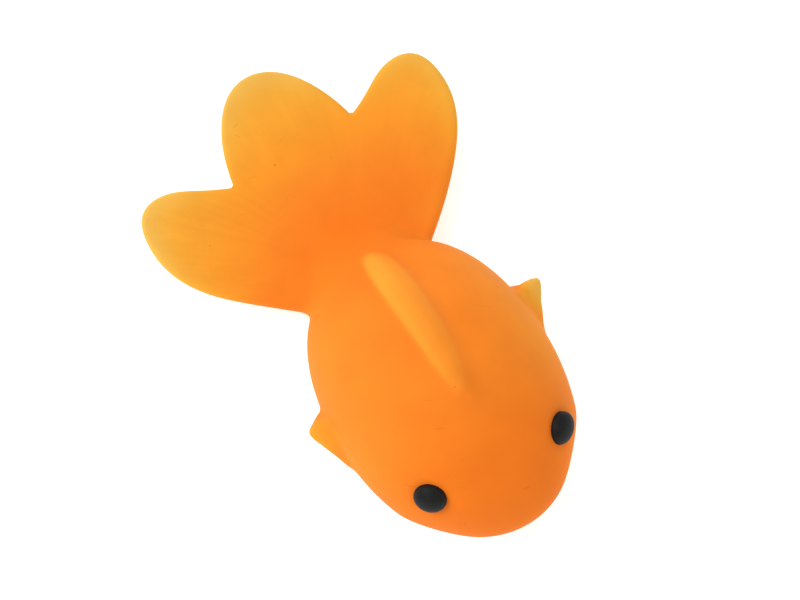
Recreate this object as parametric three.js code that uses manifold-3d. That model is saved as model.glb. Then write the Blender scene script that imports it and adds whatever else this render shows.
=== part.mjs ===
// A soft rubber goldfish: a filled skin with a flat fan tail, a low back fin, two side fins and two eyes.
// Millimetres. The head points along -Y, the tail along +Y and the back along +Z. The fish's own left is +X.
// The origin lies on the table, under the middle of the fish.

import * as THREE from 'three';
import { mergeVertices } from 'three/addons/utils/BufferGeometryUtils.js';
import Module from 'manifold-3d';

const wasm = await Module();
wasm.setup();

// Body
const bodyLength = 35.5; // nose to rump
const bodyWidth = 26;
const bodyHeight = 20.2; // table to the top of the back
const widestHeight = 6.2; // height of the widest level, at mid length
const headRise = 1.1; // how much higher the widest level is at the nose
const bellyDepth = 7.2; // roundness of the belly below the widest level, cut off flat by the table
const headWidening = 0.025; // plan: share added at the head and taken from the rump
const endWidening = 0.075; // plan: share added near both ends
const headRaising = -0.075; // side view: share added at the head and taken from the rump
const endRaising = -0.108; // side view: share added near both ends
const skinWall = 2;
const coreClearance = 0.3; // filling to skin
const partingHeight = 8; // level where the back's half of the skin meets the belly's half
const partingClearance = 0.3;

// Filling hole under the belly and its plug
const plugDiameter = 8;
const plugClearance = 0.3;
const plugRecess = 0.3; // plug's face above the table

// Eyes: domes bonded to the skin
const eyeDiameter = 3.9;
const eyeBulge = 1.3;
const eyeSetback = 6.4; // along the body from the nose
const eyeRaise = 0.64; // share of the height from the widest level to the back
const eyeClearance = 0.3;

// Back fin: a low keel that fades out towards the head
const keelLength = 19;
const keelWidth = 3;
const keelHeight = 2.2;
const keelTaper = 0.45; // how much fuller the rear half is than the front half
const keelRearSetback = 2.6; // rear end of the keel ahead of the rump
const keelClearance = 0.3;

// Tail: one flat fan, measured from the rump
const tailReach = 24.6; // rump to the tip of the middle lobe
const tailSpan = 38.6;
const tailHeight = 4; // middle of the thickness above the table
const tailRootThickness = 3;
const tailTipThickness = 1.8;
const tailRootWidth = 12.5; // where the fan starts, inside the body
const tailRootLead = 3.9; // fan's start ahead of the rump
const sideLobeWidest = 12.8; // rump to the level of the full span
const sideLobeReach = 17.8; // rump to the side lobes' rear edge
const sideLobeTipInset = 3.6; // rearmost point of a side lobe inside the full span
const notchOffset = 8; // middle line to a notch
const notchReach = 14.8; // rump to a notch
const tailEdgeRound = 1.2; // width of the rounded edge

// Swelling that eases the body into the tail's root
const rootSwellLength = 6.4;
const rootSwellWidth = 15.6;
const rootSwellHeight = 7.4;
const rootSwellLead = 2.4; // its middle ahead of the rump

// Lines where the tail and its lobes bend, measured from the rump and from the notches
const rootHingeReach = 2;
const middleHingeSetback = 2; // middle lobe's line behind the notches
const sideHingeInset = 2; // side lobe's line outside its notch
const sideHingeOuterInset = 1.5; // outer end of a side lobe's line inside the full span
const sideHingeOuterReach = 7.4; // outer end of a side lobe's line, from the rump
const hingeClearance = 0.3;
const hingeOverrun = 1.5; // how far a bead or groove is cut past the tail's outer edge

// Side fins
const finSetback = 16.3; // nose to the front of the fin's root
const finRootLength = 6.5;
const finTipAlong = 5; // tip's place along the root, from the front
const finReach = 2.1; // root line to tip
const finTipRadius = 0.7;
const finThickness = 1.4; // at the rear of the root
const finFrontThickness = 0.6;
const finHeight = 6.3;
const finTilt = 30; // degrees up from level
const finClearance = 0.3;
const finEdgeRound = 0.3;

// Fineness of the faceted surfaces
const bodyStations = 24;
const bodySides = 32;
const keelStations = 14;
const keelSides = 14;
const curveSteps = 8;
const roundSteps = 3;
const eyeSides = 24;
const swellSides = 24;
const beadSides = 24;
const plugSides = 32;

const noseY = -(bodyLength + tailReach) / 2;
const rumpY = noseY + bodyLength;
const plugY = noseY + bodyLength / 2;
const ample = bodyLength + tailReach + tailSpan; // larger than the whole fish, for half-space cutters

const skinRubber = new THREE.MeshStandardMaterial({ color: '#f98c2b', roughness: 0.55, metalness: 0 });
const finRubber = new THREE.MeshStandardMaterial({ color: '#fb9a2f', roughness: 0.55, metalness: 0 });
const fillingGel = new THREE.MeshStandardMaterial({ color: '#f7b26a', roughness: 0.4, metalness: 0 });
const eyePaint = new THREE.MeshStandardMaterial({ color: '#1d1d1d', roughness: 0.25, metalness: 0 });

// Booleans

function toSolid(geometry) {
  const plain = geometry.clone();
  plain.deleteAttribute('normal');
  plain.deleteAttribute('uv');
  const merged = mergeVertices(plain);
  const vertProperties = new Float32Array(merged.attributes.position.array);
  const triVerts = new Uint32Array(merged.index.array);
  return new wasm.Manifold(new wasm.Mesh({ numProp: 3, vertProperties, triVerts }));
}

function toMesh(name, solid, material) {
  const { vertProperties, triVerts } = solid.getMesh();
  const geometry = new THREE.BufferGeometry();
  geometry.setAttribute('position', new THREE.BufferAttribute(vertProperties, 3));
  geometry.setIndex(new THREE.BufferAttribute(triVerts, 1));
  geometry.computeVertexNormals();
  const mesh = new THREE.Mesh(geometry, material.clone());
  mesh.name = name;
  return mesh;
}

// Everything above or below a level.
function halfSpace(height, above) {
  const box = new THREE.BoxGeometry(ample, ample, ample);
  box.translate(0, 0, height + (above ? ample / 2 : -ample / 2));
  return toSolid(box);
}

// A closed skin over rings of points that run from one pole to the other.
function loft(rings, firstPole, lastPole) {
  const sides = rings[0].length;
  const points = [firstPole, ...rings.flat(), lastPole];
  const last = points.length - 1;
  const index = [];
  const at = (ring, side) => 1 + ring * sides + (side % sides);
  for (let side = 0; side < sides; side++) {
    index.push(0, at(0, side), at(0, side + 1));
    index.push(last, at(rings.length - 1, side + 1), at(rings.length - 1, side));
    for (let ring = 0; ring < rings.length - 1; ring++) {
      index.push(at(ring, side), at(ring + 1, side), at(ring + 1, side + 1));
      index.push(at(ring, side), at(ring + 1, side + 1), at(ring, side + 1));
    }
  }
  const geometry = new THREE.BufferGeometry().setFromPoints(points);
  geometry.setIndex(index);
  return toSolid(geometry);
}

// Body

// Fullness of a rounded outline at an angle from 0 at the nose to PI at the rump, 1 at mid length.
function fullness(angle, headShare, endShare) {
  return Math.sin(angle) * (1 + headShare * Math.cos(angle) + endShare * (1 + Math.cos(2 * angle)));
}

function angleAt(y) {
  return Math.acos(1 - (2 * (y - noseY)) / bodyLength);
}

function sectionAt(angle, inset) {
  return {
    y: noseY + inset + ((bodyLength - 2 * inset) * (1 - Math.cos(angle))) / 2,
    level: widestHeight + headRise * Math.cos(angle),
    halfWidth: (bodyWidth / 2 - inset) * fullness(angle, headWidening, endWidening),
    back: (bodyHeight - widestHeight - inset) * fullness(angle, headRaising, endRaising),
    belly: (bellyDepth - inset) * Math.sin(angle),
  };
}

// The point of the body's surface at an angle along it and a turn around it, from 0 at the fish's left side.
function bodyPoint(angle, turn, inset = 0) {
  const { y, level, halfWidth, back, belly } = sectionAt(angle, inset);
  const rise = Math.sin(turn) * (Math.sin(turn) > 0 ? back : belly);
  return new THREE.Vector3(halfWidth * Math.cos(turn), y, Math.max(level + rise, inset));
}

// The whole body, shrunk all round by an inset, or swollen where the inset is below zero.
function bodySolid(inset) {
  const rings = [];
  for (let station = 1; station < bodyStations; station++) {
    const ring = [];
    for (let side = 0; side < bodySides; side++) {
      ring.push(bodyPoint((Math.PI * station) / bodyStations, (2 * Math.PI * side) / bodySides, inset));
    }
    rings.push(ring);
  }
  return loft(rings, bodyPoint(0, 0, inset), bodyPoint(Math.PI, 0, inset));
}

function halfWidthAt(y) {
  return sectionAt(angleAt(y), 0).halfWidth;
}

function backHeightAt(y) {
  const { level, back } = sectionAt(angleAt(y), 0);
  return level + back;
}

const bodyOutside = bodySolid(0);
const bodyInside = bodySolid(skinWall);
const shell = bodyOutside.subtract(bodyInside);

function plugCylinder(radius, bottom, top) {
  const cylinder = new THREE.CylinderGeometry(radius, radius, top - bottom, plugSides);
  cylinder.rotateX(Math.PI / 2);
  cylinder.translate(0, plugY, (bottom + top) / 2);
  return toSolid(cylinder);
}

// Tail

function tailThicknessAt(reach) {
  return tailRootThickness + ((tailTipThickness - tailRootThickness) * reach) / tailReach;
}

// One half of the fan's outline, from the root to the tip on side 1, or back from the tip to the root on side -1.
// Each stretch is a curve whose two handles are shares of the stretch's own width and length.
function addTailEdge(shape, side) {
  const root = { x: tailRootWidth / 2, y: -tailRootLead };
  const widest = { x: tailSpan / 2, y: sideLobeWidest };
  const lobeTip = { x: tailSpan / 2 - sideLobeTipInset, y: sideLobeReach };
  const notch = { x: notchOffset, y: notchReach };
  const tip = { x: 0, y: tailReach };
  const stretches = [
    { from: root, to: widest, leave: [0.47, 0.29], arrive: [0, 0.42] },
    { from: widest, to: lobeTip, leave: [0, 0.7], arrive: [0.64, 0] },
    { from: lobeTip, to: notch, leave: [0.36, 0], arrive: [0.43, 0.47] },
    { from: notch, to: tip, leave: [0.1, 0.43], arrive: [0.57, 0] },
  ];
  const handle = (start, end, [shareX, shareY]) => [
    side * (start.x + shareX * (end.x - start.x)),
    rumpY + start.y + shareY * (end.y - start.y),
  ];
  const add = (from, to, leave, arrive) => {
    const end = [side * to.x, rumpY + to.y];
    shape.bezierCurveTo(...handle(from, to, leave), ...handle(to, from, arrive), ...end);
  };
  if (side > 0) {
    shape.moveTo(root.x, rumpY + root.y);
    stretches.forEach(({ from, to, leave, arrive }) => add(from, to, leave, arrive));
  } else {
    stretches.reverse().forEach(({ from, to, leave, arrive }) => add(to, from, arrive, leave));
  }
}

// The fan as one plate with rounded edges, thinner towards its tips.
function tailFan() {
  const shape = new THREE.Shape();
  addTailEdge(shape, 1);
  addTailEdge(shape, -1);
  const roundDepth = tailRootThickness * 0.4;
  const plate = new THREE.ExtrudeGeometry(shape, {
    depth: tailRootThickness - 2 * roundDepth,
    bevelThickness: roundDepth,
    bevelSize: tailEdgeRound,
    bevelOffset: -tailEdgeRound,
    bevelSegments: roundSteps,
    curveSegments: curveSteps,
  });
  plate.translate(0, 0, roundDepth - tailRootThickness / 2);
  const position = plate.attributes.position;
  for (let i = 0; i < position.count; i++) {
    const thinning = tailThicknessAt(position.getY(i) - rumpY) / tailRootThickness;
    position.setZ(i, tailHeight + position.getZ(i) * thinning);
  }
  return toSolid(plate);
}

function rootSwell() {
  const swell = new THREE.SphereGeometry(1 / 2, swellSides, swellSides / 2);
  swell.scale(rootSwellWidth, rootSwellLength, rootSwellHeight);
  swell.translate(0, rumpY - rootSwellLead, tailHeight);
  return toSolid(swell);
}

// A bending line across the tail, from one point to another with the moving side on its left:
// that side as a block, the bead on the line and the groove that holds the bead.
function bendLine(from, to, radius, overrun) {
  const along = new THREE.Vector2().subVectors(to, from);
  const length = along.length() + 2 * overrun;
  const place = new THREE.Matrix4().makeRotationZ(along.angle());
  place.setPosition((from.x + to.x) / 2, (from.y + to.y) / 2, tailHeight);
  const block = new THREE.BoxGeometry(length, ample, ample).translate(0, ample / 2, 0);
  const round = (r) => new THREE.CylinderGeometry(r, r, length, beadSides).rotateZ(Math.PI / 2);
  return {
    beyond: toSolid(block.applyMatrix4(place)),
    bead: toSolid(round(radius).applyMatrix4(place)),
    groove: toSolid(round(radius + hingeClearance).applyMatrix4(place)),
  };
}

const rootHingeY = rumpY + rootHingeReach;
const rootBend = bendLine(
  new THREE.Vector2(-tailSpan / 2, rootHingeY),
  new THREE.Vector2(tailSpan / 2, rootHingeY),
  tailThicknessAt(rootHingeReach) / 2,
  hingeOverrun,
);

const middleHingeReach = notchReach + middleHingeSetback;
const middleBend = bendLine(
  new THREE.Vector2(-notchOffset, rumpY + middleHingeReach),
  new THREE.Vector2(notchOffset, rumpY + middleHingeReach),
  tailThicknessAt(middleHingeReach) / 2,
  0,
);

function sideBend(side) {
  const inner = new THREE.Vector2(side * (notchOffset + sideHingeInset), rumpY + notchReach);
  const outer = new THREE.Vector2(side * (tailSpan / 2 - sideHingeOuterInset), rumpY + sideHingeOuterReach);
  const radius = tailThicknessAt(sideHingeOuterReach) / 2;
  const ends = side > 0 ? [inner, outer] : [outer, inner];
  return bendLine(...ends, radius, hingeOverrun);
}

const leftBend = sideBend(1);
const rightBend = sideBend(-1);
const fan = tailFan();

// What lies beyond a bending line, with the bead on its root.
function beyondBend(plate, bend) {
  return plate.intersect(bend.beyond.add(bend.bead));
}

// What lies before a bending line, with the groove for the bead.
function beforeBend(plate, bend) {
  return plate.subtract(bend.beyond).subtract(bend.groove);
}

const tailStub = beforeBend(fan.add(rootSwell()), rootBend).subtract(bodyInside);
const lobeBends = [leftBend, middleBend, rightBend];
const tailWeb = lobeBends.reduce(beforeBend, beyondBend(fan, rootBend));

// Skin, filling and plug

const plugRadius = plugDiameter / 2;
const fillingHole = plugCylinder(plugRadius + plugClearance, -skinWall, 2 * skinWall);
const bellySkin = shell
  .intersect(halfSpace(partingHeight - partingClearance / 2, false))
  .add(tailStub)
  .subtract(fillingHole);
const backSkin = shell.intersect(halfSpace(partingHeight + partingClearance / 2, true));
const softCore = bodySolid(skinWall + coreClearance);
const bellyPlug = plugCylinder(plugRadius, plugRecess, skinWall);

// Back fin: a teardrop along the middle of the back, cut clear of the skin
function backFin() {
  const rearY = rumpY - keelRearSetback;
  const sectionCentre = (angle) => {
    const y = rearY - keelLength + (keelLength * (1 - Math.cos(angle))) / 2;
    return new THREE.Vector3(0, y, backHeightAt(y));
  };
  const rings = [];
  for (let station = 1; station < keelStations; station++) {
    const angle = (Math.PI * station) / keelStations;
    const swell = Math.sin(angle) * (1 - keelTaper * Math.cos(angle));
    const centre = sectionCentre(angle);
    const ring = [];
    for (let side = 0; side < keelSides; side++) {
      const turn = (2 * Math.PI * side) / keelSides;
      const across = (keelWidth / 2) * swell * Math.cos(turn);
      const up = keelHeight * swell * Math.sin(turn);
      ring.push(centre.clone().add(new THREE.Vector3(across, 0, up)));
    }
    rings.push(ring);
  }
  const teardrop = loft(rings, sectionCentre(0), sectionCentre(Math.PI));
  return teardrop.subtract(bodySolid(-keelClearance));
}

// Eye: a dome square to the skin, on side 1 or -1
function eye(side) {
  const angle = angleAt(noseY + eyeSetback);
  const turn = Math.asin(eyeRaise);
  const step = 0.01;
  const centre = bodyPoint(angle, turn);
  const alongBody = bodyPoint(angle + step, turn).sub(centre);
  const aroundBody = bodyPoint(angle, turn + step).sub(centre);
  const outward = alongBody.cross(aroundBody).normalize().negate();
  centre.x *= side;
  outward.x *= side;
  const dome = new THREE.SphereGeometry(1, eyeSides, eyeSides / 2);
  dome.rotateX(Math.PI / 2);
  dome.scale(eyeDiameter / 2, eyeDiameter / 2, eyeBulge);
  dome.applyQuaternion(new THREE.Quaternion().setFromUnitVectors(new THREE.Vector3(0, 0, 1), outward));
  dome.translate(centre.x, centre.y, centre.z);
  return toSolid(dome).subtract(bodySolid(-eyeClearance));
}

// Side fin: a small swept flap with a round bead along its root, on side 1 or -1
function sideFin(side) {
  const frontY = noseY + finSetback;
  const rearY = frontY + finRootLength;
  const middleY = (frontY + rearY) / 2;
  const frontBead = finFrontThickness / 2;
  const rearBead = finThickness / 2;
  const frontX = halfWidthAt(frontY) + frontBead;
  const rearX = halfWidthAt(rearY) + rearBead;
  const bulge = halfWidthAt(middleY) - (halfWidthAt(frontY) + halfWidthAt(rearY)) / 2;

  const shape = new THREE.Shape();
  const tipY = finTipAlong - finRootLength / 2;
  const tipX = side * finReach;
  const roundX = side * (finReach - finTipRadius);
  shape.moveTo(0, -finRootLength / 2);
  shape.lineTo(roundX, tipY - 2 * finTipRadius);
  shape.quadraticCurveTo(tipX, tipY - finTipRadius, tipX, tipY);
  shape.quadraticCurveTo(tipX, tipY + finTipRadius, roundX, tipY + finTipRadius);
  shape.lineTo(0, finRootLength / 2);
  const plate = new THREE.ExtrudeGeometry(shape, {
    depth: finThickness - 2 * finEdgeRound,
    bevelThickness: finEdgeRound,
    bevelSize: finEdgeRound,
    bevelOffset: -finEdgeRound,
    bevelSegments: roundSteps,
    curveSegments: curveSteps,
  });
  plate.translate(0, 0, finEdgeRound - finThickness / 2);
  const position = plate.attributes.position;
  for (let i = 0; i < position.count; i++) {
    const along = position.getY(i) / finRootLength + 0.5;
    const thickness = THREE.MathUtils.lerp(finFrontThickness, finThickness, along);
    position.setZ(i, (position.getZ(i) * thickness) / finThickness);
  }
  const root = new THREE.CylinderGeometry(rearBead, frontBead, finRootLength, beadSides);
  const name = side > 0 ? 'pectoral_fin_left' : 'pectoral_fin_right';
  const flap = toMesh(name, toSolid(plate).add(toSolid(root)), finRubber);
  flap.rotation.y = -side * THREE.MathUtils.degToRad(finTilt);
  const rootLine = new THREE.Group();
  rootLine.position.set(side * ((frontX + rearX) / 2 + bulge + finClearance), middleY, finHeight);
  rootLine.rotation.z = side * Math.atan((frontX - rearX) / finRootLength);
  rootLine.add(flap);
  return rootLine;
}

const fish = new THREE.Group();
fish.add(
  toMesh('belly_skin', bellySkin, skinRubber),
  toMesh('back_skin', backSkin, skinRubber),
  toMesh('soft_core', softCore, fillingGel),
  toMesh('belly_plug', bellyPlug, skinRubber),
  toMesh('dorsal_fin', backFin(), finRubber),
  toMesh('eye_left', eye(1), eyePaint),
  toMesh('eye_right', eye(-1), eyePaint),
  toMesh('tail_web', tailWeb, finRubber),
  toMesh('tail_lobe_left', beyondBend(fan, leftBend), finRubber),
  toMesh('tail_lobe_middle', beyondBend(fan, middleBend), finRubber),
  toMesh('tail_lobe_right', beyondBend(fan, rightBend), finRubber),
  sideFin(1),
  sideFin(-1),
);

export default fish;
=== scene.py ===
# %% [markdown]
# # A soft rubber goldfish, dressed in Blender
#
# The toy is one soft moulding of orange thermoplastic rubber: an egg-shaped body filled with gel, a flat
# three-lobed tail, a low fin along the back and two small side fins. Two black eyes are bonded to the head,
# and a plug closes the filling hole under the belly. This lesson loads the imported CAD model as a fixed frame
# and makes the visible pieces around it, where the CAD says they are. The rules below work in millimetres,
# and `MM` turns a length into Blender's metres. Where the two sides differ, 1 stands for the fish's left and
# -1 for its right.

# %% The frame
import math
import bmesh
import bpy
import numpy as np
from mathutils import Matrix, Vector


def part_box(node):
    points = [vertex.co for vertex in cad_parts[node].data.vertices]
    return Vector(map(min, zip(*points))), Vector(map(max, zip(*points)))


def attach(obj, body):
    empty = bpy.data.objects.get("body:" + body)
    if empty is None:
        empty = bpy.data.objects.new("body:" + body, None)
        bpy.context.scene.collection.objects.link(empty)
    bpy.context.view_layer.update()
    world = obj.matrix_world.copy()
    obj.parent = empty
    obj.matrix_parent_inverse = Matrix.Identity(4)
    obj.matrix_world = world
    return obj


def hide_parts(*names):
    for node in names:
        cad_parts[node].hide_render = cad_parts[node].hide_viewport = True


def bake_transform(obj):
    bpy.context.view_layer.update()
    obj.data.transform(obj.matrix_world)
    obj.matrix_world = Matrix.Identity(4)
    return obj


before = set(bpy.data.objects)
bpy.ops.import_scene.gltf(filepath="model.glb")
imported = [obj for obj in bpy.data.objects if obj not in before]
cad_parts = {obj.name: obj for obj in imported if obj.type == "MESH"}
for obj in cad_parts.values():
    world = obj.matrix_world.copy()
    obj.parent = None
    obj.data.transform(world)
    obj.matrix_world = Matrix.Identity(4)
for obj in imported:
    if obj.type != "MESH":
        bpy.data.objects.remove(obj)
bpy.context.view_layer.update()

scene = bpy.context.scene
MM = 0.001
print("nodes:", sorted(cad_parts))

# %% [markdown]
# ## The camera
#
# The photograph looks down on the fish from above its head, a little to one side. A camera could be dragged
# into place by eye. Here its angle, distance and scale were worked out first, from the places of the eyes,
# the tail's tips and its notches, so the camera is set by numbers. A long lens keeps the outline nearly flat.

# %% Camera
PHOTO_AZIMUTH = -31.0
PHOTO_ELEVATION = 76.4
CAMERA_DISTANCE = 0.450
CAMERA_LENS = 182.7
SENSOR_WIDTH = 36.0
CAMERA_TARGET = Vector((0.0, 1.65 * MM, 8.0 * MM))
SLIDE_RIGHT = 2.683 * MM
SLIDE_DOWN = 2.350 * MM

turn = math.radians(PHOTO_AZIMUTH)
rise = math.radians(PHOTO_ELEVATION)
camera_back = Vector((math.sin(turn) * math.cos(rise), -math.cos(turn) * math.cos(rise), math.sin(rise)))
camera_right = Vector((math.cos(turn), math.sin(turn), 0.0))
camera_up = camera_back.cross(camera_right)
camera = bpy.data.objects.new("camera", bpy.data.cameras.new("camera"))
camera.data.lens = CAMERA_LENS
camera.data.sensor_width = SENSOR_WIDTH
camera.data.clip_start = 0.01
camera.data.clip_end = 10.0
camera.location = (
    CAMERA_TARGET + camera_back * CAMERA_DISTANCE + camera_right * SLIDE_RIGHT - camera_up * SLIDE_DOWN
)
camera.rotation_mode = "QUATERNION"
camera.rotation_quaternion = (-camera_back).to_track_quat("-Z", "Y")
scene.collection.objects.link(camera)
scene.camera = camera
print("camera at", [round(v, 4) for v in camera.location])

# %% [markdown]
# ## The body's sections
#
# The body is an egg: round in plan, flat underneath where it rests on the table, and higher over the back
# than under the belly. It could be modelled by pushing the points of a sphere about. Here a few numbers say
# how wide, high and deep the egg is at each place along the fish, where `slide` runs from 1 at the nose to -1
# at the rump. The same numbers, with an inset, give the hollow inside and the filling.

# %% Body sections
NOSE_Y = -30.05
RUMP_Y = 5.45
BODY_WIDTH = 26.0
BODY_HEIGHT = 20.2
WIDEST_HEIGHT = 6.2
HEAD_RISE = 1.1
BELLY_DEPTH = 7.2
# shares by which the section widens and sinks towards the nose, and towards both ends
NOSE_WIDENING = 0.025
ENDS_WIDENING = 0.15
NOSE_SINKING = 0.075
ENDS_SINKING = 0.216
MIDDLE_Y = (NOSE_Y + RUMP_Y) / 2
HALF_LENGTH = (RUMP_Y - NOSE_Y) / 2


def body_section(slide, inset=0.0):
    """Level of the widest line, half width, height of the back above it and depth of the belly below it."""
    level = WIDEST_HEIGHT + HEAD_RISE * slide
    wide = (BODY_WIDTH / 2 - inset) * (1 + NOSE_WIDENING * slide + ENDS_WIDENING * slide**2)
    back = (BODY_HEIGHT - WIDEST_HEIGHT - inset) * (1 - NOSE_SINKING * slide - ENDS_SINKING * slide**2)
    return level, wide, back, BELLY_DEPTH - inset


def back_height(y):
    """Height of the body's top line."""
    slide = np.clip((MIDDLE_Y - y) / HALF_LENGTH, -1.0, 1.0)
    level, _, back, _ = body_section(slide)
    return level + back * np.sqrt(1.0 - slide**2)


print("the body is", round(RUMP_Y - NOSE_Y, 2), "mm long and", float(back_height(MIDDLE_Y)), "mm high")

# %% [markdown]
# ## The body's rule
#
# From here on each form is a rule, a function that answers one question for many points at once: how far is
# this point outside the form? Below zero means inside. The forms could be meshes joined by Booleans instead.
# Rules are better for a moulding like this one, because two of them can be joined with a fillet of any size.
# The body's rule is an egg, cut off flat at the table with a small rounded edge.

# %% Body form
BASE_EDGE = 1.0
SLIDE_LIMIT = 1.3
TINY = 1e-9


def egg_distance(shares, radii):
    """About how far points lie outside an egg, from their shares of its three radii."""
    far = np.sqrt(sum(s * s for s in shares)) + TINY
    steep = np.sqrt(sum((s / r) ** 2 for s, r in zip(shares, radii))) + TINY
    return far * (far - 1.0) / steep


def soft_join(a, b, reach):
    """Two forms as one, with a fillet that starts where they are nearer to each other than reach."""
    near = np.maximum(reach - np.abs(a - b), 0.0) / reach
    return np.minimum(a, b) - near * near * reach / 4


def body_form(p):
    slide = np.clip((MIDDLE_Y - p[:, 1]) / HALF_LENGTH, -SLIDE_LIMIT, SLIDE_LIMIT)
    level, wide, back, belly = body_section(slide)
    up = p[:, 2] - level
    tall = np.where(up > 0, back, belly)
    egg = egg_distance((p[:, 0] / wide, slide, up / tall), (wide, HALF_LENGTH, tall))
    return -soft_join(-egg, p[:, 2], BASE_EDGE)


probe = np.array([
    [0.0, MIDDLE_Y, BODY_HEIGHT],
    [BODY_WIDTH / 2, MIDDLE_Y, WIDEST_HEIGHT],
    [0.0, NOSE_Y, WIDEST_HEIGHT + HEAD_RISE],
])
print("back, side and nose lie", np.round(body_form(probe), 3), "mm from the body's surface")

# %% [markdown]
# ## How this one lies
#
# No soft toy lies quite true. In the photograph the head is turned about two degrees and drawn out by half a
# millimetre, both cheeks are narrower than the mould's, the left one more, and the tail is turned less than a
# degree the other way. A lattice could bend a finished mesh like that. Here the rules stay symmetrical, as
# the mould is, and this small lean is taken off a point before the rules are asked about it. So they still
# tell where the bent surface lies.

# %% Lean
HEAD_LEAN = -0.1
HEAD_NARROWING = 0.025
HEAD_STRETCH = 0.45
HEAD_TURN = math.radians(2.2)
CHEEK_NARROWING = {1: 0.135, -1: 0.11}
TAIL_TURN = math.radians(0.75)
TAIL_TURN_Y = 8.0
# where along the toy each part of the lean sets in and where it is full, ahead of the origin for the head and
# the cheeks and behind it for the tail
HEAD_BAND = (14.0, 28.0)
CHEEK_BAND = (22.0, 28.5)
TAIL_BAND = (3.0, 11.0)


def ease(value, low, high):
    """0 below low, 1 above high, and a smooth change between them."""
    t = np.clip((value - low) / (high - low), 0.0, 1.0)
    return t * t * (3.0 - 2.0 * t)


def by_side(x, values):
    """The left or the right side's value for each x."""
    return np.where(x > 0, values[1], values[-1])


def lean(p):
    """How far the relaxed toy lies off its true form at each point."""
    head = ease(-p[:, 1], *HEAD_BAND)
    cheek = by_side(p[:, 0], CHEEK_NARROWING) * ease(-p[:, 1], *CHEEK_BAND) * p[:, 0]
    tail = TAIL_TURN * ease(p[:, 1], *TAIL_BAND)
    along = p[:, 1] - TAIL_TURN_Y
    across = (HEAD_LEAN - HEAD_NARROWING * p[:, 0]) * head - cheek - tail * along
    forward = (HEAD_TURN * p[:, 0] + HEAD_STRETCH) * head - tail * p[:, 0]
    return np.stack([across, -forward, np.zeros_like(along)], axis=1)


print("the muzzle leans", np.round(lean(probe)[2, :2], 2), "mm across and along")

# %% [markdown]
# ## The tail's outline
#
# The tail is a flat fan with three round lobes. Its outline is four curves on each side, from the root round
# the side lobe to the notch and on to the middle tip. A Bezier curve object could be filled and extruded. A
# rule needs the distance from the outline, so the curves are sampled and mirrored here. Then some places are
# nudged by a few tenths of a millimetre, because this toy's two notches and lobes aren't quite alike.

# %% Tail outline
TAIL_REACH = 24.75
TAIL_SPAN = 38.6
TAIL_ROOT = (6.25, -3.9)
SIDE_LOBE_WIDEST = (TAIL_SPAN / 2, 12.8)
SIDE_LOBE_TIP = (TAIL_SPAN / 2 - 3.7, 17.95)
NOTCH = (8.0, 14.8)
MIDDLE_TIP = (0.0, TAIL_REACH)
# each curve: its start, its end, and how far the handles at both ends reach, in shares of the way across and
# along to the other end
TAIL_STRETCHES = (
    (TAIL_ROOT, SIDE_LOBE_WIDEST, (0.455, 0.29), (0.0, 0.42)),
    (SIDE_LOBE_WIDEST, SIDE_LOBE_TIP, (0.0, 0.7), (0.64, 0.0)),
    (SIDE_LOBE_TIP, NOTCH, (0.36, 0.0), (0.43, 0.47)),
    (NOTCH, MIDDLE_TIP, (0.1, 0.43), (0.57, 0.0)),
)
CURVE_STEPS = 20
# each nudge: its place, its way, and the reach over which it fades
TAIL_NUDGES = (
    ((-8.0, 14.8), (0.4, -0.35), 5.0),
    ((-12.0, 3.0), (-0.05, 0.28), 6.0),
    ((10.5, 16.2), (0.1, -0.2), 3.5),
    ((15.0, 5.0), (-0.17, 0.1), 7.5),
    ((-4.6, 21.2), (0.19, -0.11), 4.0),
    ((-11.8, 15.8), (-0.1, -0.17), 4.0),
)


def tail_outline():
    half = []
    t = np.linspace(0.0, 1.0, CURVE_STEPS, endpoint=False)[:, None]
    for start, end, leave, arrive in TAIL_STRETCHES:
        start, end = np.array(start), np.array(end)
        first = start + np.array(leave) * (end - start)
        second = end + np.array(arrive) * (start - end)
        half.append(
            (1 - t) ** 3 * start + 3 * t * (1 - t) ** 2 * first + 3 * t**2 * (1 - t) * second + t**3 * end
        )
    half = np.concatenate(half + [np.array([MIDDLE_TIP])])
    mirrored = half[-2::-1] * np.array([-1.0, 1.0])
    outline = np.concatenate([half, mirrored])
    for centre, nudge, reach in TAIL_NUDGES:
        away = ((outline - np.array(centre)) ** 2).sum(axis=1)
        outline = outline + np.exp(-away / reach**2)[:, None] * np.array(nudge)
    return outline + np.array([0.0, RUMP_Y])


TAIL_OUTLINE = tail_outline()
print("tail outline:", len(TAIL_OUTLINE), "points, span", round(float(np.ptp(TAIL_OUTLINE[:, 0])), 2), "mm")

# %% [markdown]
# ## The tail's rule
#
# The tail is thicker at the root than at the tips, with a rounded edge and a slight crown. Solidify and Bevel
# modifiers could give a flat mesh that form. As a rule, each point measures its way to the nearest stretch of
# the outline and to the tail's middle plane, and the two together say how far it lies from the rubber.

# %% Tail form
TAIL_HEIGHT = 4.0
TAIL_ROOT_THICKNESS = 3.0
TAIL_TIP_THICKNESS = 1.8
EDGE_ROUNDING = 0.9
EDGE_THINNING = 0.28
CROWN_REACH = 6.0
TAIL_MARGIN = 4.0
FAR = 50.0


def between(start, end, share):
    """The value that lies a share of the way from start to end."""
    return start + (end - start) * share


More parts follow.
